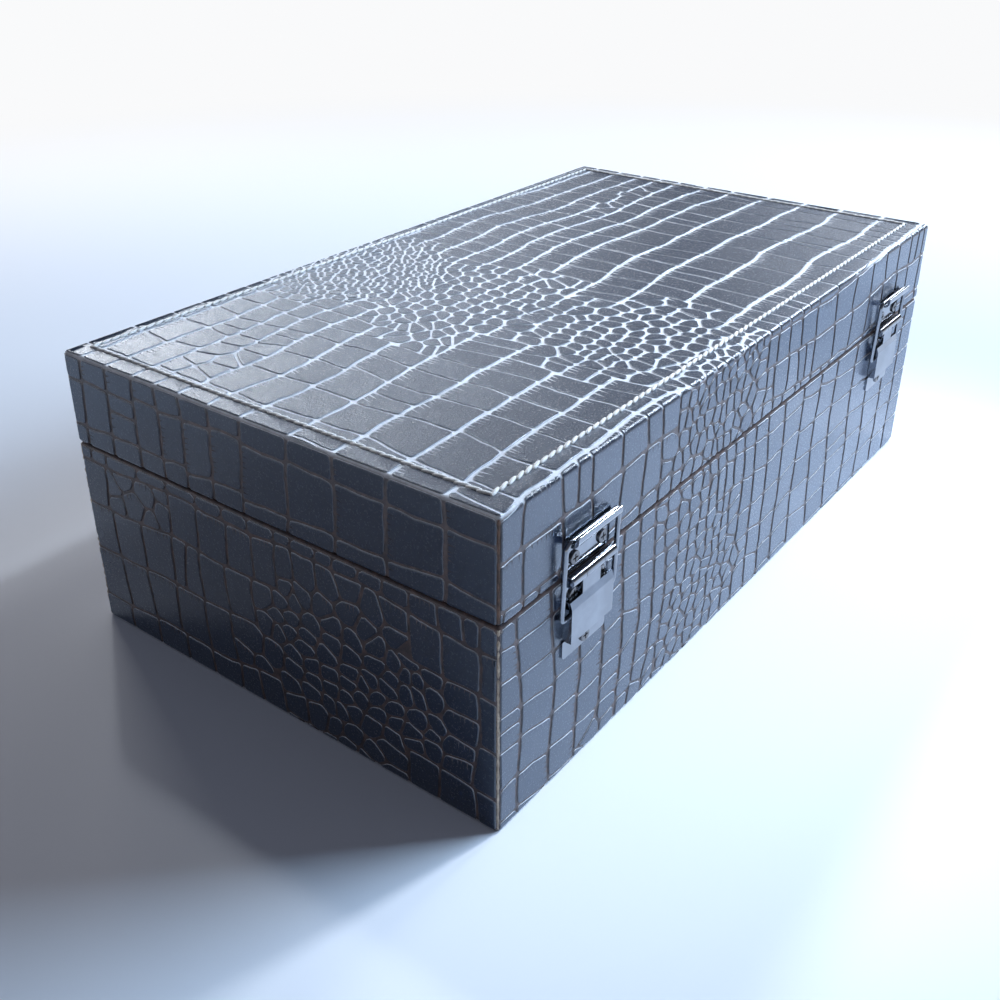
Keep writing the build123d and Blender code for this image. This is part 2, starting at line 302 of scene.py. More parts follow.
rawSeam = plainMaterial("rawSeam", (0.02, 0.012, 0.010), (0.20, 0.11, 0.075), 620.0, 0.6, 0.8)
paleSeam = plainMaterial("paleSeam", (0.20, 0.15, 0.11), (0.62, 0.52, 0.42), 620.0, 0.6, 0.8)
print("materials made")


# embossing: rows of flat scales, with patches where each one breaks up into small beads
emboss = {
    "rowGroove": 1.15,  # mm between rows
    "crossGroove": 0.95,  # mm between scales of a row, and between beads
    "height": 0.38,
    "heightUneven": (0.88, 1.12),
    # a scale's side from the hide up: mm in from its edge, share of its height, lean
    "side": ((0.0, -0.15, 0.95), (0.18, 0.7, 0.6), (0.6, 1.0, 0.0)),
    "steepBelow": 9.0,  # mm across, smaller scales have steeper sides
    "darkFrom": 0.85,  # share of the height from which a scale has its full colour
    "tilt": 0.014,  # how unevenly the scales lie
    "plain": 21.0,  # mm across a scale away from the patches
    "spread": 0.9,  # mm that the ends of the lines across a row stray
    "fade": (1.3, 1.15),  # a patch is whole to half its reach and gone just past it
    "splitFrom": 15.0,  # mm, wider scales may be split by a slanted line
    "splitSlant": 1.1,
    "beadStray": 0.16,  # share of a bead's size
    "beadStagger": 0.25,
    "leastArea": 1.6,  # mm2, what is smaller is left out
    "largeArea": 70.0,  # mm2, from here a scale has ticks
    "cornerRadius": 1.4,
    "cornerShare": 0.17,  # the most that a small scale's corners are rounded, of its size
    "edgeStep": 5.0,  # longest straight run on a scale's edge
    "sway": (3.4, 120.0),  # how far rows wander, over what distance
    "drift": (1.9, 46.0),
    "wobble": (0.5, 9.0),
    "tickGap": 1.9,
    "tickGapUneven": (0.75, 1.35),
    "tickStart": (0.6, 1.2),  # mm from an edge's start to its first tick
    "tickRoom": (1.8, 0.7),  # mm, the shortest edge with ticks, and what stays free at its end
    "tickWidth": 0.75,
    "tickWidthUneven": (0.75, 1.25),
    "tickLength": (2.2, 4.8),
    "tickTurn": (-0.25, 0.15),
    "tickClear": (1.7, 0.5),  # times its length and mm that must lie before it on the same scale
    "tickBottom": (0.3, 0.5),  # mm that its bottom starts outside the top's edge, share of the height
    "topTicks": (1.0, 0.94),  # size on the lid's top, and the share of large scales that have them
    "sideTicks": (0.62, 0.5),
}


def edgesOf(outline):
    return zip(outline, outline[1:] + outline[:1])


def cutBy(outline, nx, ny, limit):
    # keeps x*nx + y*ny <= limit
    kept = []
    for (ax, ay), (bx, by) in edgesOf(outline):
        before = ax * nx + ay * ny - limit
        after = bx * nx + by * ny - limit
        if before <= 0:
            kept.append((ax, ay))
        if before * after < 0:
            share = before / (before - after)
            kept.append((ax + (bx - ax) * share, ay + (by - ay) * share))
    return kept


def cutToBox(outline, low, high):
    for nx, ny, limit in ((-1, 0, -low[0]), (1, 0, high[0]), (0, -1, -low[1]), (0, 1, high[1])):
        if outline:
            outline = cutBy(outline, nx, ny, limit)
    return outline


def scaleSize(x, y, patches):
    # patches are (x, y, reach x, reach y, size of its scales), and each eases out past its reach
    size, (whole, fall) = emboss["plain"], emboss["fade"]
    for px, py, rx, ry, small in patches:
        away = ((x - px) / rx) ** 2 + ((y - py) / ry) ** 2
        share = max(0.0, min(1.0, whole - fall * away))
        size += (min(small, size) - size) * share * share * (3 - 2 * share)
    return size


def lineThrough(a, b):
    # as (nx, ny, limit), facing right of the way from a to b
    way = Vector(b) - Vector(a)
    normal = Vector((way.y, -way.x)).normalized()
    return normal.x, normal.y, normal.dot(Vector(a))


def planGrid(pattern, dice):
    # each ground tile's four border lines, with the tile that lies past each one, and its corners
    rows, columns, spread = pattern["rows"], pattern["columns"], emboss["spread"]
    cross = [[(x + dice.gauss(0, spread), x + dice.gauss(0, spread)) for x in columns] for row in rows[1:]]
    tiles = {}
    for r, (low, high) in enumerate(zip(rows, rows[1:])):
        for c in range(len(columns) - 1):
            (leftLow, leftHigh), (rightLow, rightHigh) = cross[r][c], cross[r][c + 1]
            corners = {(-1, -1): (leftLow, low), (1, -1): (rightLow, low),
                       (1, 1): (rightHigh, high), (-1, 1): (leftHigh, high)}
            sides = {(0, -1): lineThrough(corners[-1, -1], corners[1, -1]),
                     (1, 0): lineThrough(corners[1, -1], corners[1, 1]),
                     (0, 1): lineThrough(corners[1, 1], corners[-1, 1]),
                     (-1, 0): lineThrough(corners[-1, 1], corners[-1, -1])}
            x, y = (leftLow + rightHigh) / 2, (low + high) / 2
            size = scaleSize(x, y, pattern["patches"])
            down = max(1, round((high - low) / (size * pattern["tall"])))
            over = max(1, round((rightLow - leftLow) / (size * pattern["slim"])))
            tiles[c, r] = {"corners": corners, "sides": sides, "middle": (x, y), "parts": (over, down),
                           "beads": over * down > 1}
    return tiles


def grooveHalf(way):
    return (emboss["crossGroove"] if way[1] == 0 else emboss["rowGroove"]) / 2


def squareRound(x, y, reach):
    return [(x - reach, y - reach), (x + reach, y - reach), (x + reach, y + reach), (x - reach, y + reach)]


def flatScales(tile, halved, dice, reach=60.0):
    # a ground tile as one scale, or parted by a slanted cut
    outline = squareRound(*tile["middle"], reach)
    for way, (nx, ny, limit) in tile["sides"].items():
        outline = cutBy(outline, nx, ny, limit - grooveHalf(way))
    (left, low), (right, high) = tile["corners"][-1, -1], tile["corners"][1, 1]
    if right - left < emboss["splitFrom"] or dice.random() > halved:
        return [outline]
    place = left + (right - left) * dice.uniform(0.4, 0.6)
    slant = emboss["splitSlant"]
    nx, ny, limit = lineThrough((place + dice.gauss(0, slant), low), (place + dice.gauss(0, slant), high))
    inset = grooveHalf((1, 0))
    parts = (cutBy(outline, *line) for line in ((nx, ny, limit - inset), (-nx, -ny, -limit - inset)))
    return [part for part in parts if len(part) > 2]


def plantBeads(tiles, slope, dice):
    # the beads' middles, staggered, and leaning where beads stand on both sides
    beads, stray = [], emboss["beadStray"]
    for key, tile in tiles.items():
        if not tile["beads"]:
            continue
        over, down = tile["parts"]
        (left, low), (right, high) = tile["corners"][-1, -1], tile["corners"][1, 1]
        beside = [tiles.get((key[0] + step, key[1])) for step in (-1, 1)]
        lean = slope * (down > 1 and all(other and other["beads"] for other in beside))
        for i in range(over):
            for k in range(down):
                x = left + (right - left) * (i + 0.5) / over
                stagger = emboss["beadStagger"] * (1 if i % 2 else -1) * (down > 1)
                y = low + (high - low) * (k + 0.5 + stagger) / down
                x += lean * (y - tile["middle"][1])
                x += dice.gauss(0, stray) * (right - left) / over
                y += dice.gauss(0, stray) * (high - low) / down
                beads.append((x, y, key))
    return beads


def reachesInto(outline, tile):
    # whether a bead's ground overlaps a large scale by more than a sliver
    for way, (nx, ny, limit) in tile["sides"].items():
        outline = cutBy(outline, nx, ny, limit + grooveHalf(way))
    return len(outline) > 2 and abs(areaOf(outline)) > 0.02


tileWays = [(x * step, y * step) for step in (1, 2) for x, y in (
    (0, -1), (1, 0), (0, 1), (-1, 0), (1, 1), (1, -1), (-1, 1), (-1, -1))]


def growBeads(beads, tiles, reach=24.0, neighbours=120):
    # a bead is the ground nearest to its middle, kept out of the large scales beside it
    tree = kdtree.KDTree(len(beads))
    for index, (x, y, key) in enumerate(beads):
        tree.insert((x, y, 0), index)
    tree.balance()
    half = emboss["crossGroove"] / 2
    cells = []
    for index, (x, y, key) in enumerate(beads):
        outline = squareRound(x, y, reach)
        for place, other, distance in tree.find_n((x, y, 0), neighbours):
            if len(outline) < 3 or distance / 2 > max(hypot(px - x, py - y) for px, py in outline):
                break
            if other == index or distance < 0.01:
                continue
            nx, ny = (place.x - x) / distance, (place.y - y) / distance
            middle = nx * (place.x + x) / 2 + ny * (place.y + y) / 2
            outline = cutBy(outline, nx, ny, middle - half)
        for wayX, wayY in tileWays:
            beside = tiles.get((key[0] + wayX, key[1] + wayY))
            if not beside or beside["beads"] or len(outline) < 3 or not reachesInto(outline, beside):
                continue
            choices = []
            for side in ((-(wayX > 0) + (wayX < 0), 0), (0, -(wayY > 0) + (wayY < 0))):
                if side != (0, 0):
                    nx, ny, limit = beside["sides"][side]
                    choices.append(cutBy(outline, -nx, -ny, -limit - grooveHalf(side)))
            outline = max(choices, key=lambda kept: abs(areaOf(kept)) if len(kept) > 2 else 0)
        if len(outline) >= 3:
            cells.append(outline)
    return cells


def wander(x, y, layer):
    swayBy, swayOver = emboss["sway"]
    driftBy, driftOver = emboss["drift"]
    wobbleBy, wobbleOver = emboss["wobble"]
    sway = noise.noise_vector(Vector((x, y, layer * 19.1)) / swayOver)
    drift = noise.noise_vector(Vector((x, y, layer * 31.7)) / driftOver)
    wobble = noise.noise_vector(Vector((x, y, layer * 7.3)) / wobbleOver)
    return (
        x + swayBy * sway.x + 2 * driftBy * drift.x + 2 * wobbleBy * wobble.x,
        y + 2 * swayBy * sway.y + 2 * driftBy * drift.y + 2 * wobbleBy * wobble.y,
    )


def divideEdges(outline):
    divided = []
    for (ax, ay), (bx, by) in edgesOf(outline):
        steps = max(1, round(hypot(bx - ax, by - ay) / emboss["edgeStep"]))
        divided += [(ax + (bx - ax) * k / steps, ay + (by - ay) * k / steps) for k in range(steps)]
    return divided


def dropShort(outline, least=0.35):
    kept = []
    for point in outline:
        if not kept or hypot(point[0] - kept[-1][0], point[1] - kept[-1][1]) > least:
            kept.append(point)
    while len(kept) > 3 and hypot(kept[0][0] - kept[-1][0], kept[0][1] - kept[-1][1]) <= least:
        kept.pop()
    return kept


def areaOf(outline):
    return sum(ax * by - bx * ay for (ax, ay), (bx, by) in edgesOf(outline)) / 2


def roundCorners(outline, radius, steps, sharp=26):
    rounded = []
    count = len(outline)
    for index in range(count):
        before, corner, after = (Vector(outline[(index + k) % count]) for k in (-1, 0, 1))
        back, ahead = before - corner, after - corner
        if degrees((-back).angle(ahead, 0)) < sharp:
            rounded.append(tuple(corner))
            continue
        reach = min(radius, 0.45 * back.length, 0.45 * ahead.length)
        start, end = corner + back.normalized() * reach, corner + ahead.normalized() * reach
        for k in range(steps + 1):
            t = k / steps
            rounded.append(tuple(start * (1 - t) ** 2 + corner * 2 * t * (1 - t) + end * t ** 2))
    return dropShort(rounded, 0.12)


def rimPoints(outline):
    # each point of a scale's edge, with the direction out of the scale there
    points = []
    for before, corner, after in zip(outline[-1:] + outline[:-1], outline, outline[1:] + outline[:1]):
        first = (Vector(corner) - Vector(before)).normalized()
        second = (Vector(after) - Vector(corner)).normalized()
        outward = Vector((first.y + second.y, -first.x - second.x))
        size = max(outward.length, 0.001)
        points.append((Vector(corner), outward / size * min(1.35, 2 / size)))
    return points


def isInside(point, outline):
    inside = False
    for a, b in edgesOf(outline):
        if (a.y > point.y) != (b.y > point.y):
            crossing = a.x + (b.x - a.x) * (point.y - a.y) / (b.y - a.y)
            inside = inside != (point.x < crossing)
    return inside


def ticksAlong(start, end, outline, way, size, dice):
    # comb cuts from the edge between start and end into the scale: both lips, the bottom's start, the tip
    ticks = []
    run = end - start
    along = run.normalized()
    out = Vector((along.y, -along.x))
    shortest, free = emboss["tickRoom"]
    clearTimes, clearMore = emboss["tickClear"]
    if run.length < shortest or out.dot(way) > -0.8:
        return ticks
    place = dice.uniform(*emboss["tickStart"])
    while place < run.length - free:
        middle = start + along * place
        half = emboss["tickWidth"] / 2 * dice.uniform(*emboss["tickWidthUneven"]) * size
        length = dice.uniform(*emboss["tickLength"]) * size
        if isInside(middle + way * (clearTimes * length + clearMore), outline):
            ticks.append((middle - along * half, middle + out * emboss["tickBottom"][0],
                          middle + along * half, middle + way * length))
        place += emboss["tickGap"] * dice.uniform(*emboss["tickGapUneven"])
    return ticks


def addScale(sheet, outline, dice):
    area = areaOf(outline)
    if area < emboss["leastArea"]:
        return
    large = area > emboss["largeArea"]
    radius = min(emboss["cornerRadius"], emboss["cornerShare"] * area ** 0.5)
    outline = roundCorners(outline, radius, 2 if large else 1)
    if len(outline) < 4:
        return
    centre = sum((Vector(place) for place in outline), Vector((0, 0))) / len(outline)
    points = rimPoints(outline)
    size = emboss["height"] * dice.uniform(*emboss["heightUneven"])
    shade = dice.random()
    uneven = Vector((dice.gauss(0, emboss["tilt"]), dice.gauss(0, emboss["tilt"])))
    margin = emboss["side"][-1][0]
    crosses = any(
        min(corner[axis] for corner, outward in points) - margin < place
        < max(corner[axis] for corner, outward in points) + margin
        for axis, place in sheet["bends"]
    )
    verts, faces, notes, cuts = sheet["bent" if crosses else "flat"]
    first, count = len(verts), len(points)
    narrow = min(1.0, area ** 0.5 / emboss["steepBelow"])

    def addPoint(place, share, lean, relief=None):
        verts.append((place.x, place.y, size * share))
        height = max(0.0, min(1.0, share / emboss["darkFrom"])) if relief is None else relief
        notes.append((lean + uneven, shade, height))
        return len(verts) - 1

    for inset, share, lean in emboss["side"]:
        for corner, outward in points:
            place = corner - outward * min(inset * narrow, 0.4 * (corner - centre).length)
            addPoint(place, share, outward.normalized() * lean)
    faces.append(tuple(reversed(range(first, first + count))))
    for index in range(count):
        after = (index + 1) % count
        faces.append((first + index, first + after, first + after + count, first + index + count))
    level = Vector((0, 0))
    topRing = first + 2 * count
    top = [Vector(verts[topRing + index][:2]) for index in range(count)]
    way = Matrix.Rotation(dice.uniform(*emboss["tickTurn"]), 2) @ -sheet["tickSide"]
    onTop = sheet["onLid"] and abs(centre.x) < flatLength and abs(centre.y) < flatDepth
    tickSize, tickChance = emboss["topTicks" if onTop else "sideTicks"]
    ticked = large and dice.random() < tickChance
    topLoop = []
    for index in range(count):
        after = (index + 1) % count
        ticks = ticksAlong(top[index], top[after], top, way, tickSize, dice) if ticked else []
        topLoop.append(topRing + index)
        edge = [topRing + index]
        for startLip, bottom, endLip, tip in ticks:
            a, b, end = (addPoint(place, 1.0, level) for place in (startLip, endLip, tip))
            low = addPoint(bottom, emboss["tickBottom"][1], level, 0.0)
            edge += [a, low, b]
            topLoop += [a, end, b]
            a, b, end = (addPoint(place, 1.0, level, 0.4) for place in (startLip, endLip, tip))
            cuts |= {len(faces), len(faces) + 1}
            faces += [(a, low, end), (low, b, end)]
        faces.append((topRing - count + index, topRing - count + after, topRing + after, *reversed(edge)))
    faces.append(tuple(topLoop))


def creaseAtBends(sheet):
    # scales that lie over a bend get an edge along each bend line, so that they fold there
    verts, faces, notes, cuts = sheet["bent"]
    work = bmesh.new()
    layers = [work.verts.layers.float.new(name) for name in ("leanX", "leanY", "shade", "relief")]
    isCut = work.faces.layers.int.new("isCut")
    made = [work.verts.new(place) for place in verts]
    for vert, (lean, shade, relief) in zip(made, notes):
        for layer, value in zip(layers, (lean.x, lean.y, shade, relief)):
            vert[layer] = value
    for index, face in enumerate(faces):
        work.faces.new([made[k] for k in face])[isCut] = index in cuts
    work.normal_update()
    bmesh.ops.triangulate(work, faces=[face for face in work.faces if len(face.verts) > 4])
    for axis, place in sheet["bends"]:
        over = [face for face in work.faces
                if min(v.co[axis] for v in face.verts) < place < max(v.co[axis] for v in face.verts)]
        parts = [part for face in over for part in (face, *face.edges, *face.verts)]
        across = Vector((axis == 0, axis == 1, 0))
        bmesh.ops.bisect_plane(work, geom=list(dict.fromkeys(parts)), dist=1e-5, plane_co=across * place,
                               plane_no=across)
    work.verts.index_update()
    flatVerts, flatFaces, flatNotes, flatCuts = sheet["flat"]
    offset = len(flatVerts)
    allVerts = flatVerts + [tuple(vert.co) for vert in work.verts]
    kept = [[vert[layer] for layer in layers] for vert in work.verts]
    allNotes = flatNotes + [(Vector((leanX, leanY)), shade, relief) for leanX, leanY, shade, relief in kept]
    allCuts = [float(index in flatCuts) for index in range(len(flatFaces))]
    allCuts += [float(face[isCut]) for face in work.faces]
    allFaces = flatFaces + [tuple(offset + vert.index for vert in face.verts) for face in work.faces]
    work.free()
    return allVerts, allFaces, allNotes, allCuts


def sideProfile(distance, side):
    # out from the flat's edge, drop, and the outward and upward share of the direction there
    radius = boxShape["edgeRadius"]
    if distance <= arc:
        turn = distance / radius
        return radius * sin(turn), radius * (1 - cos(turn)), sin(turn), cos(turn)
    if distance <= arc + side:
        return radius, radius + distance - arc, 1.0, 0.0
    turn = (distance - arc - side) / radius
    return radius * cos(turn), radius + side + radius * sin(turn), cos(turn), -sin(turn)


def aroundCorner(along, limit):
    # place along one side, and how far its end has turned round the upright corner
    kept = max(-limit, min(limit, along))
    return kept, (along - kept) / boxShape["edgeRadius"]


def lidPoint(x, y, height):
    # from the lid's plan, whose flaps fold down over its four sides, to the box
    overX, overY = abs(x) - flatLength, abs(y) - flatDepth
    if max(overX, overY) <= 0:
        return Vector((x, y, boxShape["top"] + height * topShare(x, y))) * mm
    if overY > overX:
        out, drop, outShare, upShare = sideProfile(overY, lidSide)
        base, turn = aroundCorner(x, flatLength)
        facing = 1 if y > 0 else -1
        direction = (sin(turn), cos(turn) * facing)
        start = (base, flatDepth * facing)
    else:
        out, drop, outShare, upShare = sideProfile(overX, lidSide)
        base, turn = aroundCorner(y, flatDepth)
        facing = 1 if x > 0 else -1
        direction = (cos(turn) * facing, sin(turn))
        start = (flatLength * facing, base)
    reach = out + height * outShare
    return Vector((start[0] + direction[0] * reach, start[1] + direction[1] * reach,
                   boxShape["top"] - drop + height * upShare)) * mm


# the body's sides: start, direction along, direction out, length
bodySides = {
    "front": ((-flatLength, -flatDepth), (1, 0), (0, -1), 2 * flatLength),
    "right": ((flatLength, -flatDepth), (0, 1), (1, 0), 2 * flatDepth),
    "back": ((flatLength, flatDepth), (-1, 0), (0, 1), 2 * flatLength),
    "left": ((-flatLength, flatDepth), (0, -1), (-1, 0), 2 * flatDepth),
}


def bodyPoint(sides):
    # from a band that goes round these sides, to the box
    def place(along, up, height):
        for side in sides:
            start, run, facing, length = bodySides[side]
            if along <= length + arc or side == sides[-1]:
                break
            along -= length + arc
        inside = max(0.0, min(length, along))
        turn = (along - inside) / boxShape["edgeRadius"]
        direction = (facing[0] * cos(turn) + run[0] * sin(turn), facing[1] * cos(turn) + run[1] * sin(turn))
        out, rise, outShare, downShare = sideProfile(up, bodySide)  # from the base up
        reach = out + height * outShare
        return Vector((start[0] + run[0] * inside + direction[0] * reach,
                       start[1] + run[1] * inside + direction[1] * reach,
                       rise - height * downShare)) * mm
    return place


def bendLines(axis, start, side, steps=3):
    # the lines over which a sheet bends at both ends of a side
    rounding = [arc * k / steps for k in range(steps + 1)]
    return [(axis, start + offset) for offset in rounding + [arc + side + more for more in rounding]]


def facingAt(toBox, place, lean):
    # the direction a point of the sheet faces once it is on the box
    x, y, height = place
    height = max(0.0, height)
    step = 0.01
    here = toBox(x, y, height)
    along = (toBox(x + step, y, height) - here).normalized()
    across = (toBox(x, y + step, height) - here).normalized()
    up = along.cross(across).normalized()
    flat = min(0.98, lean.length_squared)
    return along * lean.x + across * lean.y + up * (1 - flat) ** 0.5


def layScales(name, pattern, toBox, seed):
    sheet = {"flat": ([], [], [], set()), "bent": ([], [], [], set()), "bends": pattern["bends"],
             "tickSide": Vector((1, 0) if pattern["upright"] else (0, 1)), "onLid": toBox is lidPoint}
    dice = random.Random(seed)
    tiles = planGrid(pattern, dice)
    cells = []
    for tile in tiles.values():
        if not tile["beads"]:
            cells += flatScales(tile, pattern["halved"], dice)
    cells += growBeads(plantBeads(tiles, pattern["lean"], dice), tiles)
    for cell in cells:
        cell = [wander(x, y, seed) for x, y in divideEdges(cell)]
        if pattern["upright"]:
            cell = [(y, x) for x, y in reversed(cell)]
        for low, high in pattern["regions"]:
            inside = dropShort(cutToBox(cell, low, high))
            if len(inside) >= 3:
                addScale(sheet, inside, dice)
    verts, faces, notes, cuts = creaseAtBends(sheet)
    piece = meshPiece(name, [toBox(*place) for place in verts], faces)
    facing = [facingAt(toBox, place, note[0]) for place, note in zip(verts, notes)]
    attributes = piece.data.attributes
    attributes.new("facing", "FLOAT_VECTOR", "POINT").data.foreach_set(
        "vector", [axis for direction in facing for axis in direction])
    attributes.new("cut", "FLOAT", "FACE").data.foreach_set("value", cuts)
    # painted highlight: how far each point faces up, which turns its groove colour near white
    for word, values in (("relief", [note[2] for note in notes]), ("shade", [note[1] for note in notes]),
                         ("upwardGlare", [max(0.0, direction.z) for direction in facing])):
        attributes.new(word, "FLOAT", "POINT").data.foreach_set("value", values)
    piece.data.materials.append(hide)
    print(name, len(cells), "scales", sum(len(face) - 2 for face in faces), "triangles")
    return piece


def faceScales(mesh):
    # scales face as their points do on the box, and cuts and flat sides as they lie
    facing, cut = mesh.attributes["facing"].data, mesh.attributes["cut"].data
    normals = [corner.vector.copy() for corner in mesh.corner_normals]
    for face in mesh.polygons:
        asItLies = cut[face.index].value > 0.5
        level = max(abs(share) for share in face.normal) > 0.9999
        for index in face.loop_indices:
            known = facing[mesh.loops[index].vertex_index].vector
            if not asItLies and known.length > 0.1:
                normals[index] = known.normalized()
            elif asItLies or level:
                normals[index] = face.normal.copy()
    mesh.normals_split_custom_set(normals)
    # beside a sliver a normal can come out wrong, so such faces are made flat and all are set again
    given = mesh.corner_normals
    spoiled = [face.index for face in mesh.polygons if any(
        given[k].vector.dot(normals[k]) < 0.9 for k in face.loop_indices)]
    for index in spoiled:
        mesh.polygons[index].use_smooth = False
    mesh.normals_split_custom_set(normals)
    for name in ("facing", "cut"):
        mesh.attributes.remove(mesh.attributes[name])


coverShape = {
    "turnedFrom": 1.2,  # mm in from the box's sides, from there on the hide is turned in
    "underTop": 0.5,  # mm, not counted as turned in above this
    "glareFrom": 0.1,  # mm below the top's rounding, from where the base sheet gets the painted highlight
    "sharpFrom": 40,  # degrees
}


def coveredHide(name, node, scaleSheets, body):
    # the covering's own sheet with its scales on it, in one mesh
    sheet = linked(name, nodes[node].data.copy())
    sheet.data.materials.clear()
    sheet.data.materials.append(hide)
    sheet.data.materials.append(turnedHide)
    selectOnly(sheet)
    bpy.ops.object.mode_set(mode="EDIT")
    bpy.ops.mesh.select_all(action="SELECT")
    bpy.ops.mesh.remove_doubles(threshold=1e-6)
    bpy.ops.object.mode_set(mode="OBJECT")
    bpy.ops.object.shade_smooth_by_angle(angle=radians(coverShape["sharpFrom"]))
    innerX = boxShape["halfLength"] - coverShape["turnedFrom"]
    innerY = boxShape["halfDepth"] - coverShape["turnedFrom"]
    below = boxShape["top"] - coverShape["underTop"]
    for face in sheet.data.polygons:
        middle = face.center / mm
        turnedIn = abs(middle.x) < innerX and abs(middle.y) < innerY and middle.z < below
        face.material_index = int(turnedIn)
    topBend = (boxShape["top"] - boxShape["edgeRadius"] - coverShape["glareFrom"]) * mm
    # painted highlight: the base sheet's up-facing points on the lid's top turn near white
    upwardGlare = [max(0.0, vert.normal.z) * (vert.co.z > topBend) for vert in sheet.data.vertices]
    sheet.data.attributes.new("upwardGlare", "FLOAT", "POINT").data.foreach_set("value", upwardGlare)
    for scales in scaleSheets:
        scales.select_set(True)
    bpy.ops.object.join()
    faceScales(sheet.data)
    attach(sheet, body)
    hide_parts(node)


stitching = {
    "inset": {"left": 8.8, "right": 7.2, "front": 9.6, "back": 6.4},  # mm in from each edge of the lid
    "pitch": 4.2,
    "length": 5.9,
    "width": 1.5,
    "slant": 13.0,  # degrees
    "uneven": 3.0,
    "lift": 0.40,  # mm over the lid's top
    "flatness": 0.85,
    "blunt": 0.28,  # less is blunter, 0.5 is an ellipsoid
    "dip": 0.12,  # mm that its ends go down
    "channel": 1.2,  # mm each side of the thread
    "pressed": 0.45,  # share of the embossing's height that is left under the thread
    "crown": 1.15,  # the same inside the sewn line, over the foam
    "fall": 0.3,  # how much lower it gets from there to the lid's edge
    "rise": 9.0,  # mm over which it changes
}
inset = stitching["inset"]
seamLines = {
    "x": (-boxShape["halfLength"] + inset["left"], boxShape["halfLength"] - inset["right"]),
    "y": (-boxShape["halfDepth"] + inset["front"], boxShape["halfDepth"] - inset["back"]),
}


def topShare(x, y):
    # how high the embossing stands on the lid: full inside the sewn line, less towards the edge
    (left, right), (front, back) = seamLines["x"], seamLines["y"]
    within = min(x - left, right - x, y - front, back - y)
    ease = min(1.0, abs(within) / stitching["channel"])
    if within > 0:
        full = 1.0 + (stitching["crown"] - 1) * min(1.0, within / stitching["rise"])
    else:
        full = 1.0 - stitching["fall"] * min(1.0, -within / stitching["rise"])
    return stitching["pressed"] + (full - stitching["pressed"]) * ease


# how far the scales go, in mm along the sheet
cornerReach = 0.75  # round an upright corner
cornerGap = 1.0  # between the flaps there
rimReach = 1.35  # round the rim's rounding
bodyUp = (1.1, arc + bodySide + 0.25)  # on the body: from within the base's rounding up to the rim's
endX = flatLength + arc + lidSide + rimReach
endY = flatDepth + arc + lidSide + rimReach
flapX = flatLength + cornerReach
flapY = flatDepth + cornerReach
lidBends = [
    (axis, sign * place)
    for sign in (-1, 1)
    for axis, place in bendLines(0, flatLength, lidSide) + bendLines(1, flatDepth, lidSide)
]
stitchBends = [
    (axis, line + side * stitching["channel"])
    for axis, lines in enumerate((seamLines["x"], seamLines["y"]))
    for line in lines
    for side in (-1, 0, 1)
]
# rows and columns are the lines between scales, in mm: wide apart on flat ground, close in the patches
lidPattern = {
    "rows": [-152, -132, -115.5, -101, -81, -59.5, -37.5, -16, 6, 22, 37, 50, 63, 78, 93, 110, 128, 148],
    "columns": [-228, -209, -189, -167, -147, -129, -113, -99.5, -88, -78.5, -70.5, -63, -56, -49.5, -43,
                -36.5, -30, -23.5, -17, -10, -2, 7, 18, 31, 47, 66, 87, 107, 125, 142, 159, 176, 194, 212,
                230],
    "patches": [
        (-40, 78, 62, 62, 4.4), (-46, 10, 74, 46, 7.4), (-40, -62, 58, 52, 7.6), (-40, -118, 60, 46, 6.8),
        (128, 44, 50, 16, 8.0), (-142, 46, 36, 17, 10.0), (208, 60, 22, 22, 9.0),
    ],
    "halved": 0.18,
    "lean": 0.6,
    "slim": 0.82,
    "tall": 1.1,
    "upright": False,
    "regions": [
        ((-flapX, -endY), (flapX, endY)),
        ((-endX, -flapY), (-flapX - cornerGap, flapY)),
        ((flapX + cornerGap, -flapY), (endX, flapY)),
    ],
    "bends": lidBends + stitchBends,
}
# one sheet goes from the front left corner round the right side to the back, a second one covers the left
wrapEnd = 2 * (2 * flatLength + arc) + 2 * flatDepth
wrapPattern = {
    "rows": [-12, 8, 27, 43, 57, 69, 80, 90, 99, 107.5, 115, 122, 129, 136, 143.5, 152, 162, 174, 188, 204,
             222, 241, 260, 281, 301, 322, 341, 360, 377, 391, 403, 413, 422, 430, 438, 446, 454, 463, 473,
             485, 499, 516, 536, 557, 577, 598, 618, 637, 653, 667, 679, 690, 699, 707, 715, 723, 731, 740,
             751, 764, 779, 796, 816, 836, 857, 878, 899, 919, 940],
    "columns": [-12, 3, 17, 31, 45, 60, 74, 89, 104],
    "patches": [
        (24, 133, 52, 46, 6.4), (8, 70, 34, 40, 9.5), (76, 110, 30, 30, 8.5),
        (40, 440, 52, 50, 7.4), (30, 708, 54, 58, 6.8), (72, 812, 24, 34, 10.0),
    ],
    "halved": 0.12,
    "lean": -0.3,
    "slim": 0.9,
    "tall": 1.0,
    "upright": True,
    "regions": [((-cornerReach, bodyUp[0]), (wrapEnd + cornerReach, bodyUp[1]))],
    "bends": bendLines(1, 0, bodySide) + bendLines(0, 2 * flatLength, 2 * flatDepth)
    + [(0, 0), (0, wrapEnd)],
}
leftPattern = {
    "rows": [-10, 13, 34, 55, 73, 98],
    "columns": [-16, 0, 17, 34, 51, 67, 82, 95, 106, 116, 125.5, 135, 144.5, 154, 165, 179, 196, 214, 232],
    "patches": [(138, 34, 62, 50, 8.0), (30, 64, 34, 20, 12.0)],
    "halved": 0.15,
    "lean": 0.2,
    "slim": 0.9,
    "tall": 1.0,
    "upright": False,
    "regions": [((-cornerReach, bodyUp[0]), (2 * flatDepth + cornerReach, bodyUp[1]))],
    "bends": bendLines(1, 0, bodySide) + [(0, 0), (0, 2 * flatDepth)],
}
coveredHide("lid_hide", "lid_leather", [layScales("lid_scales", lidPattern, lidPoint, 11)], "lid")
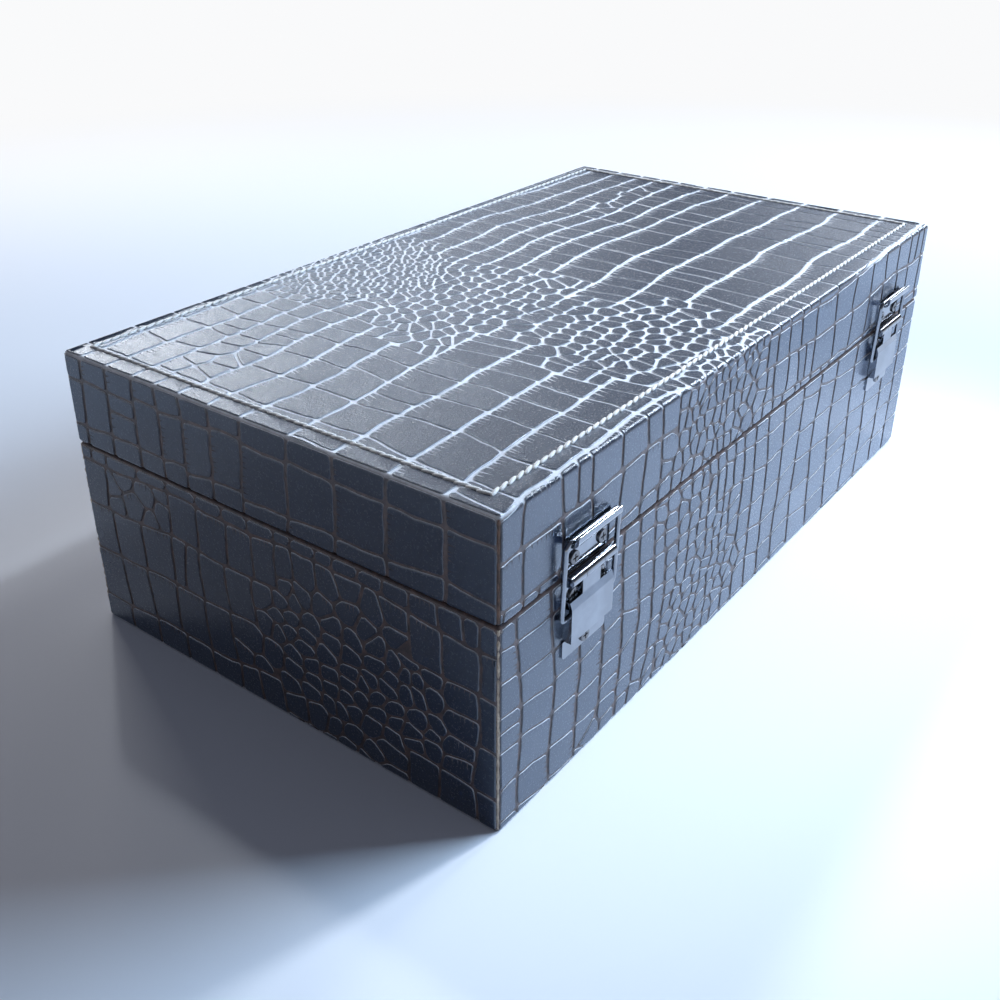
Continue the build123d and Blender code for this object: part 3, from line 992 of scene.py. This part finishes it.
coveredHide("body_hide", "body_leather", [
    layScales("wrap_scales", wrapPattern, bodyPoint(("front", "right", "back")), 23),
    layScales("left_scales", leftPattern, bodyPoint(("left",)), 37),
], "box")
print("hides made")


def makeStitch():
    # one stitch at the origin along X: a blunt bead of thread whose ends go down into the hide
    width, length = stitching["width"] * mm, stitching["length"] * mm
    clearSelection()
    bpy.ops.mesh.primitive_uv_sphere_add(segments=8, ring_count=6, radius=0.5)
    stitch = bpy.context.object
    stitch.rotation_euler = (0, pi / 2, 0)
    stitch.scale = (width * stitching["flatness"], width, length)
    bakePlace(stitch)
    for vert in stitch.data.vertices:
        along = vert.co.x / (length / 2)
        full = max(0.2, 1 - along ** 2) ** (stitching["blunt"] - 0.5)
        vert.co.y *= full
        vert.co.z = vert.co.z * full - stitching["dip"] * mm * along ** 4
    for face in stitch.data.polygons:
        face.use_smooth = True
    return stitch


def sewLid():
    first = makeStitch()
    dice = random.Random(5)
    (left, right), (front, back) = seamLines["x"], seamLines["y"]
    corners = [Vector((left, front)), Vector((right, front)), Vector((right, back)), Vector((left, back))]
    height = boxShape["top"] + stitching["lift"]
    stitches = []
    for start, end in edgesOf(corners):
        run = end - start
        count = round(run.length / stitching["pitch"])
        for k in range(count):
            place = start + run * (k + 0.5) / count
            slant = stitching["slant"] + dice.uniform(-stitching["uneven"], stitching["uneven"])
            turn = Matrix.Rotation(run.angle_signed(Vector((1, 0))) + radians(slant), 4, "Z")
            mesh = first.data.copy()
            mesh.transform(Matrix.Translation((place.x * mm, place.y * mm, height * mm)) @ turn)
            stitches.append(linked("stitch", mesh))
    bpy.data.objects.remove(first)
    clearSelection()
    for stitch in stitches:
        stitch.select_set(True)
    bpy.context.view_layer.objects.active = stitches[0]
    bpy.ops.object.join()
    thread = stitches[0]
    thread.name = thread.data.name = "lid_stitching"
    thread.data.materials.append(stitchThread)
    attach(thread, "lid")
    print("lid stitching", len(thread.data.polygons), "faces")


sewLid()

seams = {
    "radius": 0.5,
    "step": 1.3,
    "sunk": 0.25,  # mm that its middle lies under the hide's corner
    "grain": (200, 200, 900),
    "drawn": 0.3,  # mm that the roughness also shifts it in and out
    "lidEnds": (1.2, 1.0),  # mm that it stops short of the rim and of the top
    "bodyEnds": (1.0, 1.0),
    "rough": {"lid": 0.16, "box": 0.34},
}


def rawSeamAt(name, sides, low, high, body):
    # where two edges of the hide meet at an upright corner, the cut edge shows
    clearSelection()
    x, y = sides[0] * boxShape["halfLength"], sides[1] * boxShape["halfDepth"]
    inward = Vector((-x, -y)).normalized()
    reach = boxShape["edgeRadius"] * (2 ** 0.5 - 1) + seams["sunk"]
    corner = Vector((x, y)) - Vector(sides).normalized() * reach
    bpy.ops.mesh.primitive_cylinder_add(vertices=8, radius=seams["radius"] * mm, depth=(high - low) * mm,
                                        location=(corner.x * mm, corner.y * mm, (low + high) / 2 * mm))
    seam = bpy.context.object
    bakePlace(seam)
    bpy.ops.object.mode_set(mode="EDIT")
    bpy.ops.mesh.select_all(action="DESELECT")
    bpy.ops.object.mode_set(mode="OBJECT")
    for edge in seam.data.edges:
        a, b = (seam.data.vertices[i].co for i in edge.vertices)
        edge.select = abs(a.z - b.z) > 0.001
    bpy.ops.object.mode_set(mode="EDIT")
    bpy.ops.mesh.subdivide(number_cuts=round((high - low) / seams["step"]))
    bpy.ops.object.mode_set(mode="OBJECT")
    for vert in seam.data.vertices:
        away = vert.co.xy - corner * mm
        swell = noise.noise(vert.co * Vector(seams["grain"]) + Vector((0, 0, x))) * seams["rough"][body]
        vert.co.xy += away * swell * 2 - inward * swell * seams["drawn"] * mm
    bpy.ops.object.shade_smooth_by_angle(angle=radians(50))
    seam.name = seam.data.name = name
    seam.data.materials.append(rawSeam if body == "lid" else paleSeam)
    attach(seam, body)


cornerPlaces = {"front_left": (-1, -1), "front_right": (1, -1), "back_right": (1, 1), "back_left": (-1, 1)}
for label, sides in cornerPlaces.items():
    below, above = seams["lidEnds"]
    rawSeamAt("lid_seam_" + label, sides, boxShape["lidRim"] + below, boxShape["top"] - above, "lid")
for label in ("front_left", "back_left"):
    below, above = seams["bodyEnds"]
    rawSeamAt("body_seam_" + label, cornerPlaces[label], below, boxShape["bodyRim"] - above, "box")
print("corner seams made")


def roundedCard(name, low, high, look):
    # a card with rounded edges, cut across often enough to swell
    size = high - low
    clearSelection()
    bpy.ops.mesh.primitive_cube_add(size=1, location=(low + high) / 2)
    card = bpy.context.object
    card.scale = size
    bakePlace(card)
    bpy.ops.object.mode_set(mode="EDIT")
    bpy.ops.mesh.select_all(action="SELECT")
    bpy.ops.mesh.bevel(offset=look["rounding"] * mm, segments=look["segments"], affect="EDGES")
    for axis in range(3):
        cuts = int(size[axis] / mm // look["step"])
        across = Vector((axis == 0, axis == 1, axis == 2))
        for k in range(1, cuts):
            bpy.ops.mesh.select_all(action="SELECT")
            bpy.ops.mesh.bisect(plane_co=low + size * (k / cuts), plane_no=across)
    bpy.ops.object.mode_set(mode="OBJECT")
    card.name = card.data.name = name
    card.data.materials.append(velvet)
    return card


def unevenness(place, layers):
    return sum(noise.noise(place * scale) * amount for scale, amount in layers)


liningShape = {"rounding": 0.6, "segments": 3, "step": 12.0, "uneven": ((22, 0.10), (90, 0.05))}


def coverCard(node, body):
    # a card wrapped in cloth: rounded edges and a slightly uneven pile
    low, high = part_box(node)
    card = roundedCard(node + "_velvet", low, high, liningShape)
    thin = min(range(3), key=lambda axis: high[axis] - low[axis])
    for vert in card.data.vertices:
        vert.co[thin] += unevenness(vert.co, liningShape["uneven"]) * mm
    bpy.ops.object.shade_smooth_by_angle(angle=radians(60))
    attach(card, body)
    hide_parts(node)


for side in ("front", "back", "left", "right"):
    coverCard("body_lining_" + side, "box")
    coverCard("lid_lining_" + side, "lid")
print("wall linings made")

padShape = {
    "rounding": 1.6,
    "segments": 4,
    "step": 9.0,
    "crown": 0.9,  # mm that the middle stands over the edges
    "drawn": 0.5,  # mm that the edges are drawn in
    "creases": ((26, 0.16), (70, 0.06)),
}


def coverPad(node, body, faceUp):
    # a thin padded panel: crowned on the side that shows, with soft rounded edges
    low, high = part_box(node)
    pad = roundedCard(node + "_velvet", low, high, padShape)
    size, middle = high - low, (low + high) / 2
    up = 1 if faceUp else -1
    for vert in pad.data.vertices:
        u = (vert.co.x - middle.x) / (size.x / 2)
        v = (vert.co.y - middle.y) / (size.y / 2)
        facing = (vert.co.z - middle.z) / (size.z / 2) * up
        edge = max(0.0, (1 - abs(u) ** 8) * (1 - abs(v) ** 8))
        if facing > 0:
            rise = (edge - 1) * padShape["crown"] + unevenness(vert.co, padShape["creases"]) * edge
            vert.co.z += rise * facing * mm * up
        vert.co.x -= u * (1 - v * v) * padShape["drawn"] * mm * abs(u) ** 6
        vert.co.y -= v * (1 - u * u) * padShape["drawn"] * mm * abs(v) ** 6
    bpy.ops.object.shade_smooth_by_angle(angle=radians(60))
    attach(pad, body)
    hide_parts(node)


coverPad("body_floor_pad", "box", True)
coverPad("lid_lining_pad", "lid", False)
print("pads made")

finishes = {
    "board": rawBoard, "base_sheet": baseFelt, "foam": paleFoam, "screws": screwMetal, "hinge": hingeMetal,
    "latch": blackNickel, "lining": velvet, "pad": velvet, "leather": hide,
}


def dressNodes():
    for name, node in nodes.items():
        finish = next((material for word, material in finishes.items() if word in name), blackNickel)
        for slot in node.material_slots:
            slot.material = finish


dressNodes()
print("nodes dressed")

# room: pale floor, soft lamps behind, above and to the right, and the photograph's camera
room = {
    "floor": (0.84, 0.85, 0.90),
    "farFloor": (0.95, 0.955, 0.965),  # further out, where no lamp reaches
    "farReach": (0.42, 1.15),  # where it starts and is whole, in m
    # from the horizon, at 0.5, to overhead
    "sky": [(0.50, (0.90, 0.91, 0.93)), (0.525, (0.90, 0.91, 0.93)), (0.57, (0.10, 0.11, 0.14)),
            (0.66, (0.10, 0.11, 0.14)), (1.0, (0.09, 0.10, 0.13))],
    "camera": {"place": (-0.40438, -0.26879, 0.28569), "turn": (62.705, 0.230, -52.588),
               "lens": 41.569, "shift": (0.0183, -0.0501)},
    "unmirrored": ("rightKey",),  # lights floor and colours, without a glare on the front's grooves
    "spotSoftness": 0.09,
}
# kind, place, aim, size or the cone's angle and softness, power, colour
lamps = {
    "rightKey": ("AREA", (2.16, -1.52, 1.14), (0.05, -0.10, 0.03), (1.30, 1.10), 142.0, (0.54, 0.75, 1.0)),
    "topSpot": ("SPOT", (1.05, -0.42, 1.05), (0.03, -0.09, 0.05), (18.0, 0.7), 88.0, (0.80, 0.90, 1.0)),
    "crossSpot": ("SPOT", (0.31, 0.68, 1.04), (0.03, -0.01, 0.12), (21.0, 0.7), 42.0, (0.92, 0.96, 1.0)),
    "rightSheen": ("AREA", (1.07, 0.19, 0.40), (0.14, -0.04, 0.12), (0.32, 0.22), 0.50, (0.93, 0.96, 1.0)),
    "edgeGlint": ("AREA", (1.20, -0.15, 0.72), (0.0, -0.10, 0.12), (0.18, 0.55), 6.0, (0.90, 0.95, 1.0)),
    "backSheen": ("AREA", (0.66, 0.78, 0.61), (-0.08, 0.0, 0.12), (0.72, 0.34), 1.5, (0.97, 0.98, 1.0)),
    "leftGlare": ("AREA", (0.40, 1.12, 0.56), (-0.16, 0.06, 0.12), (0.36, 0.22), 3.2, (1.0, 0.99, 0.97)),
}


def layFloor():
    clearSelection()
    bpy.ops.mesh.primitive_plane_add(size=60)
    floor = bpy.context.object
    floor.name = "floor"
    material, tree, shader, coords = newMaterial("paleFloor")
    away = addNode(tree, "ShaderNodeVectorMath", operation="LENGTH")
    fade = addNode(tree, "ShaderNodeMapRange", interpolation_type="SMOOTHSTEP")
    glow = addNode(tree, "ShaderNodeEmission", Color=room["farFloor"])
    blend = addNode(tree, "ShaderNodeMixShader")
    start, whole = room["farReach"]
    feed(tree, shader, {"Base Color": room["floor"], "Roughness": 0.9})
    feed(tree, away, {0: coords})
    feed(tree, fade, {"Value": away.outputs["Value"], "From Min": start, "From Max": whole})
    feed(tree, blend, {0: fade.outputs["Result"], 1: shader.outputs[0], 2: glow.outputs[0]})
    feed(tree, tree.nodes["Material Output"], {"Surface": blend.outputs[0]})
    floor.data.materials.append(material)


def paintSky():
    world = bpy.data.worlds.new("softRoom")
    bpy.context.scene.world = world
    world.use_nodes = True
    tree = world.node_tree
    direction = addNode(tree, "ShaderNodeTexCoord").outputs["Generated"]
    height = addNode(tree, "ShaderNodeSeparateXYZ", Vector=direction)
    share = addNode(tree, "ShaderNodeMapRange", Value=height.outputs["Z"])
    feed(tree, share, {"From Min": -1.0})
    feed(tree, tree.nodes["Background"], {"Color": colourRamp(tree, share.outputs["Result"], room["sky"])})


def hangLamps():
    for name, (kind, place, aim, size, power, colour) in lamps.items():
        lamp = bpy.data.lights.new(name, kind)
        if kind == "AREA":
            lamp.shape = "RECTANGLE"
            lamp.size, lamp.size_y = size
        else:
            lamp.spot_size, lamp.spot_blend = radians(size[0]), size[1]
            lamp.shadow_soft_size = room["spotSoftness"]
        lamp.energy = power
        lamp.color = colour
        stand = linked(name, lamp)
        stand.location = place
        stand.visible_glossy = name not in room["unmirrored"]
        stand.rotation_euler = (Vector(aim) - Vector(place)).to_track_quat("-Z", "Y").to_euler()


def placeCamera():
    view = room["camera"]
    lens = bpy.data.cameras.new("photoView")
    lens.lens = view["lens"]
    lens.sensor_width = 36
    lens.shift_x, lens.shift_y = view["shift"]
    lens.clip_start = 0.01
    camera = linked("photoView", lens)
    camera.location = view["place"]
    camera.rotation_euler = Euler([radians(angle) for angle in view["turn"]])
    bpy.context.scene.camera = camera


layFloor()
paintSky()
hangLamps()
placeCamera()
bpy.context.scene.view_settings.view_transform = "Standard"
print("room set")
